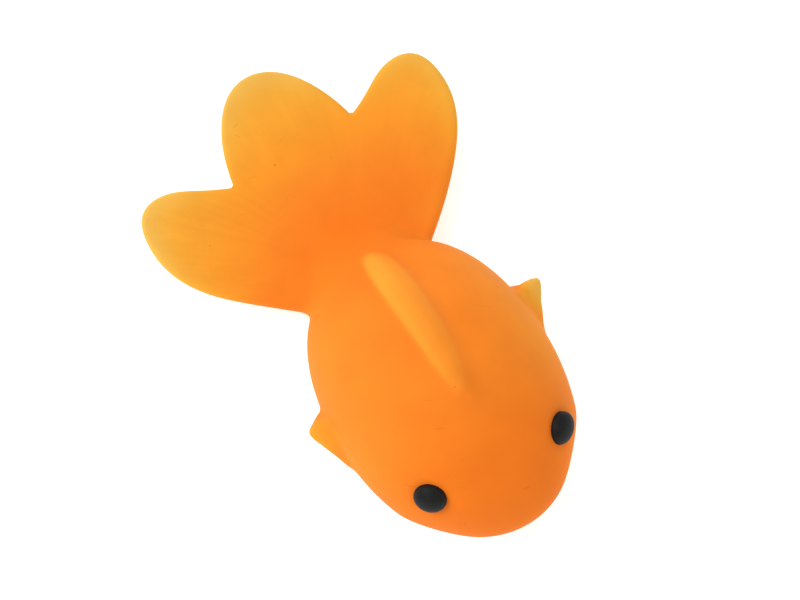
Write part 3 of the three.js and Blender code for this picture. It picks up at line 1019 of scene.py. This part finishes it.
# %% Fin ray nodes
rays_tree = bpy.data.node_groups.new("fin_rays", "GeometryNodeTree")
sockets = {}
for name, kind, in_out in (
    ("Geometry", "NodeSocketGeometry", "INPUT"),
    ("Rays In Half Turn", "NodeSocketFloat", "INPUT"),
    ("Ray Depth", "NodeSocketFloat", "INPUT"),
    ("Material", "NodeSocketMaterial", "INPUT"),
    ("Geometry", "NodeSocketGeometry", "OUTPUT"),
):
    sockets[(name, in_out)] = rays_tree.interface.new_socket(name, in_out=in_out, socket_type=kind)
given = add(rays_tree, "NodeGroupInput")
ray_at = add(rays_tree, "GeometryNodeInputNamedAttribute", {"Name": "ray_turn"}, data_type="FLOAT")
fan_at = add(rays_tree, "GeometryNodeInputNamedAttribute", {"Name": "fan"}, data_type="FLOAT")
doubled = add(
    rays_tree, "ShaderNodeMath", {0: given.outputs["Rays In Half Turn"], 1: 2.0}, operation="MULTIPLY"
)
half_depth = add(rays_tree, "ShaderNodeMath", {0: given.outputs["Ray Depth"], 1: 0.5}, operation="MULTIPLY")
lift = ray_at.outputs["Attribute"]
for operation, second in (
    ("MULTIPLY", doubled.outputs["Value"]),
    ("COSINE", 0.5),
    ("MULTIPLY", fan_at.outputs["Attribute"]),
    ("MULTIPLY", half_depth.outputs["Value"]),
):
    lift = add(rays_tree, "ShaderNodeMath", {0: lift, 1: second}, operation=operation).outputs["Value"]
facing = add(rays_tree, "GeometryNodeInputNormal")
offset = add(
    rays_tree,
    "ShaderNodeVectorMath",
    {0: facing.outputs["Normal"], "Scale": lift},
    operation="SCALE",
)
raised = add(
    rays_tree,
    "GeometryNodeSetPosition",
    {"Geometry": given.outputs["Geometry"], "Offset": offset.outputs["Vector"]},
)
real = add(rays_tree, "GeometryNodeRealizeInstances", {"Geometry": raised.outputs["Geometry"]})
finished = add(
    rays_tree,
    "GeometryNodeSetMaterial",
    {"Geometry": real.outputs["Geometry"], "Material": given.outputs["Material"]},
)
add(rays_tree, "NodeGroupOutput", {"Geometry": finished.outputs["Geometry"]})
print(rays_tree.name, "has the inputs", [name for name, in_out in sockets if in_out == "INPUT"])

# %% [markdown]
# ## The rayed skin
#
# The tree goes on the whole skin as a modifier, with its inputs set by their identifiers, and the result is
# kept as a plain mesh. The modifier could stay live, but the skin is about to be cut, and each cut piece has
# to know the normals of the whole. They are noted here as one more value on the points.

# %% Rayed skin
RAY_COUNT = 34.0
RAY_DEPTH = 0.02

ray_modifier = whole.modifiers.new("fin rays", "NODES")
ray_modifier.node_group = rays_tree
ray_modifier[sockets[("Rays In Half Turn", "INPUT")].identifier] = RAY_COUNT
ray_modifier[sockets[("Ray Depth", "INPUT")].identifier] = RAY_DEPTH * MM
ray_modifier[sockets[("Material", "INPUT")].identifier] = rubber
rayed_mesh = bpy.data.meshes.new_from_object(whole.evaluated_get(bpy.context.evaluated_depsgraph_get()))
whole.modifiers.remove(ray_modifier)
whole.data = rayed_mesh
for polygon in rayed_mesh.polygons:
    polygon.use_smooth = True
normals = np.empty(len(rayed_mesh.vertices) * 3, np.float32)
rayed_mesh.vertices.foreach_get("normal", normals)
rayed_mesh.attributes.new("skin_normal", "FLOAT_VECTOR", "POINT").data.foreach_set("vector", normals)
print("rayed skin:", len(rayed_mesh.vertices), "points")

# %% [markdown]
# ## Seams where the skin bends
#
# The real skin is one moulding that flexes. A rigid-body model can only bend at joints, so the skin is cut
# into the stretches between them: body, tail web, three lobes and two side fins. Weights for an armature
# could bend one mesh, but each body of the CAD model needs its own piece. The seams lie where the CAD model
# has its joints, and the lobes part at the notches.

# %% Seams
ROOT_SEAM_Y = 7.0
MIDDLE_SEAM_Y = 20.6
FIN_SEAM_X = 13.45
SIDE_SEAM_POINT = np.array([8.77, 18.94])
SIDE_SEAM_OUT = np.array([0.68826, 0.72546])
PIECE_NAMES = ("body", "web", "lobe_left", "lobe_middle", "lobe_right", "side_fin_left", "side_fin_right")
NOTCH_X = {}
for side in (1, -1):
    notch = np.array([[side * NOTCH[0], RUMP_Y + NOTCH[1], 0.0]])
    NOTCH_X[side] = float((notch + lean(notch))[0, 0])


def beyond_side_seam(x, y):
    return (abs(x) - SIDE_SEAM_POINT[0]) * SIDE_SEAM_OUT[0] + (y - SIDE_SEAM_POINT[1]) * SIDE_SEAM_OUT[1]


def piece_of(x, y):
    """Which piece a point of the skin belongs to, from its plan place in millimetres."""
    if y < 0 and abs(x) > FIN_SEAM_X:
        return "side_fin_left" if x > 0 else "side_fin_right"
    if y < ROOT_SEAM_Y:
        return "body"
    between_notches = NOTCH_X[-1] < x < NOTCH_X[1]
    if y > MIDDLE_SEAM_Y and between_notches:
        return "lobe_middle"
    if not between_notches and beyond_side_seam(x, y) > 0:
        return "lobe_left" if x > 0 else "lobe_right"
    return "web"


print("the nose is on", piece_of(0, NOSE_Y), "and the tail's tip on", piece_of(0, RUMP_Y + TAIL_REACH))

# %% [markdown]
# ## Cutting the skin
#
# Each seam is a plane, and bmesh's bisect splits the faces that it meets. A Boolean would do it too, with
# slivers along the cut. Bisect leaves both sides of a seam with the same points, and every point keeps the
# normal it had on the whole skin, so the cuts don't show. Each plane only gets the faces near its own seam,
# because a plane goes on for ever and would also cross other parts of the fish.

# %% Cuts
CUT_TOLERANCE = 1e-7
ROOT_CUT_REACH = 2.0
NOTCH_MARGIN = 0.6
LOBES_FROM_Y = 18.0
NOTCHES_TO_Y = 22.0
NOTCH_REACH = 3.0
FIN_CUT_FROM_X = 11.0

cut = bmesh.new()
cut.from_mesh(rayed_mesh)
# each cut: a point of the plane, its normal, and which faces it may split
cut_planes = [
    ((0, ROOT_SEAM_Y, 0), (0, 1, 0), lambda x, y: abs(y - ROOT_SEAM_Y) < ROOT_CUT_REACH),
    ((0, MIDDLE_SEAM_Y, 0), (0, 1, 0), lambda x, y: abs(x) < NOTCH[0] + NOTCH_MARGIN and y > LOBES_FROM_Y),
]
for side in (1, -1):
    cut_planes += [
        ((side * FIN_SEAM_X, 0, 0), (side, 0, 0), lambda x, y, s=side: x * s > FIN_CUT_FROM_X and y < 0),
        (
            (NOTCH_X[side], 0, 0),
            (side, 0, 0),
            lambda x, y, s=side: abs(x * s - NOTCH[0]) < NOTCH_REACH and LOBES_FROM_Y < y < NOTCHES_TO_Y,
        ),
        (
            (side * SIDE_SEAM_POINT[0], SIDE_SEAM_POINT[1], 0),
            (side * SIDE_SEAM_OUT[0], SIDE_SEAM_OUT[1], 0),
            lambda x, y, s=side: x * s > NOTCH[0] - NOTCH_MARGIN and y > ROOT_SEAM_Y,
        ),
    ]
for point, normal, near in cut_planes:
    faces = [f for f in cut.faces if near(f.calc_center_median().x / MM, f.calc_center_median().y / MM)]
    edges = {e for f in faces for e in f.edges}
    verts = {v for f in faces for v in f.verts}
    bmesh.ops.bisect_plane(
        cut,
        geom=[*verts, *edges, *faces],
        dist=CUT_TOLERANCE,
        plane_co=Vector(point) * MM,
        plane_no=Vector(normal),
    )
piece_layer = cut.faces.layers.int.new("piece")
for face in cut.faces:
    middle = face.calc_center_median() / MM
    face[piece_layer] = PIECE_NAMES.index(piece_of(middle.x, middle.y))
print("cut skin:", len(cut.faces), "faces")

# %% [markdown]
# ## The hollow and the filling hole
#
# Inside its two-millimetre wall the body is hollow, for the soft gel that gives the squeeze. The hollow is
# the body's rule again, set in by the wall. Under the belly a round hole runs through the wall. A Boolean
# could cut it, but its edge would be ragged on this mesh. Instead the faces inside the circle are deleted,
# the points round the gap are moved onto the circle, and the two circles are bridged with a wall.

# %% Hollow body
SKIN_WALL = 2.0
HOLE_RADIUS = 4.3
HOLE_RIM_REACH = 1.2
WALL_MARGIN = 0.3
HOLLOW_RINGS = 72
HOLLOW_SIDES = 96


def at_hole(place, radius):
    """Whether a place, in metres, lies in the belly's wall and within radius of the hole's axis."""
    spot = place / MM
    return math.hypot(spot.x, spot.y - MIDDLE_Y) < radius and spot.z < SKIN_WALL + WALL_MARGIN


def open_circle(target, faces):
    """Deletes the faces that lie inside the filling hole and moves the gap's edge onto its circle."""
    doomed = [f for f in faces if at_hole(f.calc_center_median(), HOLE_RADIUS)]
    bmesh.ops.delete(target, geom=doomed, context="FACES")
    rim = []
    for e in target.edges:
        if e.is_boundary and at_hole((e.verts[0].co + e.verts[1].co) / 2, HOLE_RADIUS + HOLE_RIM_REACH):
            rim.append(e)
    for v in {v for e in rim for v in e.verts}:
        away = Vector((v.co.x, v.co.y - MIDDLE_Y * MM))
        away = away.normalized() * HOLE_RADIUS * MM
        v.co.x, v.co.y = away.x, away.y + MIDDLE_Y * MM
    return rim


def add_hollow(target):
    """The hollow and the filling hole, added to the body's bmesh."""
    outer_rim = open_circle(target, target.faces[:])
    made = rounded_blank(
        target, lambda a, t: Vector(body_point(a, t, SKIN_WALL)) * MM, HOLLOW_RINGS, HOLLOW_SIDES
    )
    inner_rim = [e for e in open_circle(target, made) if e not in outer_rim]
    bmesh.ops.bridge_loops(target, edges=outer_rim + inner_rim)


print("the filling hole will be", 2 * HOLE_RADIUS, "mm across, through a wall of", SKIN_WALL, "mm")

# %% [markdown]
# ## Making the pieces
#
# Each stretch of the skin becomes an object: its faces are kept and the gaps are closed with flat caps, which
# lie inside the rubber. Open shells would look the same at rest, but a piece without caps isn't a solid, and
# a bent joint would show its inside.

# %% Pieces of skin
def finish_mesh(name, part, material):
    """An object from a finished bmesh, in metres, with smooth faces and its material."""
    bmesh.ops.recalc_face_normals(part, faces=part.faces[:])
    for f in part.faces:
        f.smooth = True
    mesh = bpy.data.meshes.new(name)
    part.to_mesh(mesh)
    part.free()
    mesh.materials.append(material)
    made = bpy.data.objects.new(name, mesh)
    scene.collection.objects.link(made)
    return made


def skin_piece(index, name):
    """One stretch of the cut skin as an object, with caps."""
    part = cut.copy()
    layer = part.faces.layers.int["piece"]
    bmesh.ops.delete(part, geom=[f for f in part.faces if f[layer] != index], context="FACES")
    gaps = [e for e in part.edges if e.is_boundary]
    for e in gaps:
        e.smooth = False
    bmesh.ops.holes_fill(part, edges=gaps, sides=0)
    if name == "body":
        add_hollow(part)
    return finish_mesh(name, part, rubber)


skin = {}
for index, name in enumerate(PIECE_NAMES):
    skin[name] = skin_piece(index, name)
    check = bmesh.new()
    check.from_mesh(skin[name].data)
    loose = sum(1 for e in check.edges if not e.is_manifold)
    print(name, "has", len(check.faces), "faces and", loose, "open edges")
    check.free()
cut.free()
bpy.data.objects.remove(whole)

# %% [markdown]
# ## One light over all seams
#
# A cut edge would catch the light, because each piece now works out its normals alone. The normals that were
# noted on the whole skin go back on as custom normals, so the light runs over the seams as it does on one
# moulding. A Data Transfer modifier could copy them too. Caps and the hollow keep their own.

# %% Normals
# a noted normal is used where it is there at all and points nearly the same way as the face's own
LEAST_LENGTH = 0.5
LEAST_AGREEMENT = 0.5


def keep_normals(mesh):
    """Custom normals from the whole skin, for faces that lie on it."""
    noted = np.empty(len(mesh.vertices) * 3, np.float32)
    mesh.attributes["skin_normal"].data.foreach_get("vector", noted)
    noted = noted.reshape(-1, 3)
    corner_point = np.empty(len(mesh.loops), int)
    mesh.loops.foreach_get("vertex_index", corner_point)
    corner_normal = np.empty(len(mesh.loops) * 3, np.float32)
    mesh.corner_normals.foreach_get("vector", corner_normal)
    corner_normal = corner_normal.reshape(-1, 3)
    wanted = noted[corner_point]
    length = np.linalg.norm(wanted, axis=1)
    agrees = (wanted * corner_normal).sum(axis=1) > LEAST_AGREEMENT * np.maximum(length, TINY)
    on_skin = (length > LEAST_LENGTH) & agrees
    normal = np.where(on_skin[:, None], wanted / np.maximum(length, TINY)[:, None], corner_normal)
    mesh.normals_split_custom_set([tuple(n) for n in normal])
    for spare in ("skin_normal", "piece"):
        mesh.attributes.remove(mesh.attributes[spare])
    return int(on_skin.sum())


for name, piece in skin.items():
    print(name, "keeps", keep_normals(piece.data), "of", len(piece.data.loops), "normals")

# %% [markdown]
# ## The filling
#
# The squeeze comes from a soft gel core that fills the hollow. Nobody sees it until the toy is cut open, but
# the CAD model has it as a piece of its own, so it is made here too, from the same rule with a deeper inset.
# Filled thermoplastic gel is clear amber, glossy where wet, with tiny air bubbles. True transparency would
# show nothing inside a closed skin, so the amber is a plain colour with clouds of 6 mm and pale bubbles.

# %% Filling
FILLING_INSET = 2.3
FILLING_RINGS = 60
FILLING_SIDES = 72
CLOUD_SIZE = 6.0
CLOUD_DEPTH = 0.05
BUBBLE_SPACING = 1.8

gel, tree, in_mm = new_material("tpr_gel_poured_clear_amber")
clouds = patchy_surface(
    tree,
    in_mm,
    size=CLOUD_SIZE,
    detail=4.0,
    colours=("#EFA552", "#F8BE78"),
    patch=(0.3, 0.7),
    rough=(0.25, 0.4),
    relief=0.2,
    depth=CLOUD_DEPTH,
)
bubbles = add(tree, "ShaderNodeTexVoronoi", {"Vector": in_mm, "Scale": 1 / BUBBLE_SPACING})
bubble_ramp = add(
    tree,
    "ShaderNodeValToRGB",
    {"Fac": bubbles.outputs["Distance"]},
    stops=[(0.08, "#FFE7C4"), (0.16, "#000000")],
)
bubbled = add(
    tree,
    "ShaderNodeMix",
    {"Factor": 0.5, MIX_A: clouds["Base Color"], MIX_B: bubble_ramp.outputs["Color"]},
    data_type="RGBA",
    blend_type="SCREEN",
)
clouds["Base Color"] = bubbled.outputs[MIX_RESULT]
shader = add(tree, "ShaderNodeBsdfPrincipled", {**clouds, "IOR": 1.48})
add(tree, "ShaderNodeOutputMaterial", {"Surface": shader.outputs["BSDF"]})
part = bmesh.new()
rounded_blank(part, lambda a, t: Vector(body_point(a, t, FILLING_INSET)) * MM, FILLING_RINGS, FILLING_SIDES)
filling = finish_mesh("filling", part, gel)
print("filling has", len(filling.data.polygons), "faces")

# %% [markdown]
# ## The plug
#
# After filling, the hole is closed with a disc of the same rubber, pressed in and glued. It sits a little
# above the table, its edge is rounded and its middle is dished where the thumb pressed it. The glue leaves
# shinier smears about 1.4 mm across. A lathe makes the shape: a profile of radius and height is turned round
# an axis, which a Screw modifier could do as well.

# %% Plug
LATHE_SIDES = 64
SMEAR_SIZE = 1.4
SMEAR_DEPTH = 0.05
# radius and height, from the top of the axis round the edge to the dished underside
PLUG_PROFILE = [
    (0, 1.98), (2.0, 1.98), (3.9, 1.95), (4.12, 1.8), (4.2, 1.5), (4.22, 0.9), (4.15, 0.5), (3.9, 0.33),
    (3.5, 0.3), (3.0, 0.36), (2.2, 0.5), (1.1, 0.58), (0, 0.6),
]


def lathe(target, profile, place):
    """A closed turned form in target; profile runs down the axis, and place sets each point."""
    rings = []
    for radius, height in profile:
        if radius == 0:
            rings.append([target.verts.new(place(Vector((0, 0, height))))])
            continue
        ring = []
        for side in range(LATHE_SIDES):
            angle = 2 * math.pi * side / LATHE_SIDES
            spot = Vector((radius * math.cos(angle), radius * math.sin(angle), height))
            ring.append(target.verts.new(place(spot)))
        rings.append(ring)
    for upper, lower in zip(rings, rings[1:]):
        for side in range(LATHE_SIDES):
            after = (side + 1) % LATHE_SIDES
            near = [upper[side % len(upper)], lower[side % len(lower)]]
            far = [lower[after % len(lower)], upper[after % len(upper)]]
            target.faces.new(list(dict.fromkeys(near + far)))


plug_rubber, tree, in_mm = new_material("tpr_rubber_pressed_plug")
smears = patchy_surface(
    tree,
    in_mm,
    size=SMEAR_SIZE,
    detail=3.0,
    colours=("#E87C22", "#F38F35"),
    patch=(0.35, 0.65),
    rough=(0.62, 0.4),
    relief=0.25,
    depth=SMEAR_DEPTH,
)
shader = add(tree, "ShaderNodeBsdfPrincipled", {**smears, "IOR": 1.5, "Specular IOR Level": 0.3})
add(tree, "ShaderNodeOutputMaterial", {"Surface": shader.outputs["BSDF"]})
part = bmesh.new()
lathe(part, PLUG_PROFILE, lambda p: (p + Vector((0, MIDDLE_Y, 0))) * MM)
plug = finish_mesh("plug", part, plug_rubber)
print("plug has", len(plug.data.polygons), "faces")

# %% [markdown]
# ## Black enamel
#
# The eyes are dipped in a black enamel that dries to a satin gloss, so each shows one broad pale patch and no
# sharp window. The lacquer sags a little, in waves of about 1 mm. A flat black would do from far off, but up
# close the eye would look like a hole.

# %% Enamel
SAG_SIZE = 0.9
SAG_DEPTH = 0.02

enamel, tree, in_mm = new_material("enamel_dipped_black_satin")
sags = patchy_surface(
    tree,
    in_mm,
    size=SAG_SIZE,
    detail=3.0,
    colours=("#191919", "#222221"),
    patch=(0.3, 0.7),
    rough=(0.5, 0.6),
    relief=0.1,
    depth=SAG_DEPTH,
)
shader = add(tree, "ShaderNodeBsdfPrincipled", {**sags, "IOR": 1.5, "Specular IOR Level": 0.1})
add(tree, "ShaderNodeOutputMaterial", {"Surface": shader.outputs["BSDF"]})
print(enamel.name, "has", len(tree.nodes), "nodes")

# %% [markdown]
# ## The eyes
#
# Each eye is a small dome, square to the skin. A halved sphere could be pushed into the head, but its rim
# would show a gap. So the dome goes on as a short shank into the skin, and the lathe turns both from one
# profile. A squeeze lifts the upper rim of an eye and presses the lower one in, so the shank is deeper above
# and shallower below.

# %% Eyes
EYE_BULGE = 1.1
EYE_TILTS = {1: Vector((-0.08, -0.13, -0.04)), -1: Vector((0.0, 0.0, 0.0))}
DOME_STEPS = 12
# radius and height of the shank, from the rim down
SHANK_PROFILE = [
    (EYE_RADIUS, -0.12), (EYE_RADIUS - 0.06, -0.3), (EYE_RADIUS - 0.12, -0.95), (1.5, -1.05), (0, -1.0),
]
# the shank's depth as a share of the profile's: at mid height, for each millimetre higher, and at least
SHANK_SHARE = 0.7
SHANK_SLANT = 0.45
SHANK_LEAST = 0.35


def eye_point(p, stand, centre):
    """A point of the eye's profile, set on the head with its shank slanted."""
    depth = p.z
    if depth < 0:
        higher = (stand @ Vector((p.x, p.y, 0))).z
        depth *= max(SHANK_LEAST, SHANK_SHARE + SHANK_SLANT * higher)
    return (stand @ Vector((p.x, p.y, depth)) + centre) * MM


eye_profile = [(0, EYE_BULGE)]
for step in range(1, DOME_STEPS + 1):
    angle = 0.5 * math.pi * step / DOME_STEPS
    eye_profile.append((EYE_RADIUS * math.sin(angle), EYE_BULGE * math.cos(angle)))
eye_profile += SHANK_PROFILE
eyes = {}
for side, hand in ((1, "left"), (-1, "right")):
    name = "eye_dome_" + hand
    centre, outward = eye_seats[side]
    stand = (outward + EYE_TILTS[side]).to_track_quat("Z", "Y").to_matrix()
    part = bmesh.new()
    lathe(part, eye_profile, lambda p: eye_point(p, stand, centre))
    eyes[name] = finish_mesh(name, part, enamel)
    low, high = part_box("eye_" + hand)
    print(name, "at", [round(c, 2) for c in centre], "CAD", [round(c / MM, 2) for c in (low + high) / 2])

# %% [markdown]
# ## Floor and light
#
# The toy was photographed on white in flat light. A wide pale sheet takes the place of the table. The world
# gives even light from everywhere, and one large soft panel on the tail's side makes that flank a little
# lighter, as in the photograph. Three lamps could do the same with more shadows to tame. The view transform
# is Standard, so that white stays white.

# %% Stage
FLOOR_RADIUS = 2.0
FLOOR_SIDES = 96
FLOOR_DROP = 0.02
FLOOR_GLOW = 0.55
FIBRE_SIZE = 2.5
SKY_STRENGTH = 0.72
PANEL_WATTS = 4.0
PANEL_SIZE = 0.6
PANEL_PLACE = Vector((-0.42, 0.32, 0.75))

paper, tree, in_mm = new_material("paper_matt_white")
fibre = add(tree, "ShaderNodeTexNoise", {"Vector": in_mm, "Scale": 1 / FIBRE_SIZE, "Detail": 2.0})
fibre_ramp = add(
    tree,
    "ShaderNodeValToRGB",
    {"Fac": fibre.outputs["Fac"]},
    stops=[(0.3, "#F7F7F7"), (0.7, "#FBFBFB")],
)
shader = add(
    tree,
    "ShaderNodeBsdfPrincipled",
    {
        "Base Color": fibre_ramp.outputs["Color"],
        "Roughness": 0.9,
        "Specular IOR Level": 0.0,
        "Emission Color": linear("#FFFFFF"),
        "Emission Strength": FLOOR_GLOW,
    },
)
add(tree, "ShaderNodeOutputMaterial", {"Surface": shader.outputs["BSDF"]})
part = bmesh.new()
bmesh.ops.create_circle(part, cap_ends=True, segments=FLOOR_SIDES, radius=FLOOR_RADIUS)
bmesh.ops.translate(part, verts=part.verts[:], vec=(0, 0, -FLOOR_DROP * MM))
floor = finish_mesh("floor", part, paper)

scene.view_settings.view_transform = "Standard"
world = bpy.data.worlds.new("studio")
world.use_nodes = True
world.node_tree.nodes.clear()
sky = add(world.node_tree, "ShaderNodeBackground", {"Color": linear("#FFFFFF"), "Strength": SKY_STRENGTH})
add(world.node_tree, "ShaderNodeOutputWorld", {"Surface": sky.outputs["Background"]})
scene.world = world
panel = bpy.data.objects.new("soft_panel", bpy.data.lights.new("soft_panel", "AREA"))
panel.data.shape = "DISK"
panel.data.size = PANEL_SIZE
panel.data.energy = PANEL_WATTS
panel.location = PANEL_PLACE
panel.rotation_mode = "QUATERNION"
panel.rotation_quaternion = (-PANEL_PLACE).to_track_quat("-Z", "Y")
scene.collection.objects.link(panel)
print("panel of", PANEL_WATTS, "W,", round(PANEL_PLACE.length, 2), "m from the fish")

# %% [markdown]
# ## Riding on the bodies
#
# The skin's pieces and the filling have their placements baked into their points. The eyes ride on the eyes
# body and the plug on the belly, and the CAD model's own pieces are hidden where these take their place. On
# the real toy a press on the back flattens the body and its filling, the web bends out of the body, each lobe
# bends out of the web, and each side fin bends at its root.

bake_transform(skin["body"])
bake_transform(filling)
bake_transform(skin["web"])
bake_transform(skin["lobe_middle"])
for side, hand in ((1, "left"), (-1, "right")):
    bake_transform(skin["lobe_" + hand])
    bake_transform(skin["side_fin_" + hand])
    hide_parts("tail_lobe_" + hand)
    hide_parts("pectoral_fin_" + hand)
    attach(eyes["eye_dome_" + hand], "eyes")
    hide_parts("eye_" + hand)
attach(plug, "belly")
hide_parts("belly_plug")
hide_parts("soft_core")
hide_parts("belly_skin", "back_skin", "dorsal_fin")
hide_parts("tail_web")
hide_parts("tail_lobe_middle")
print("riding:", ", ".join([*PIECE_NAMES, "filling", "plug", *eyes]))
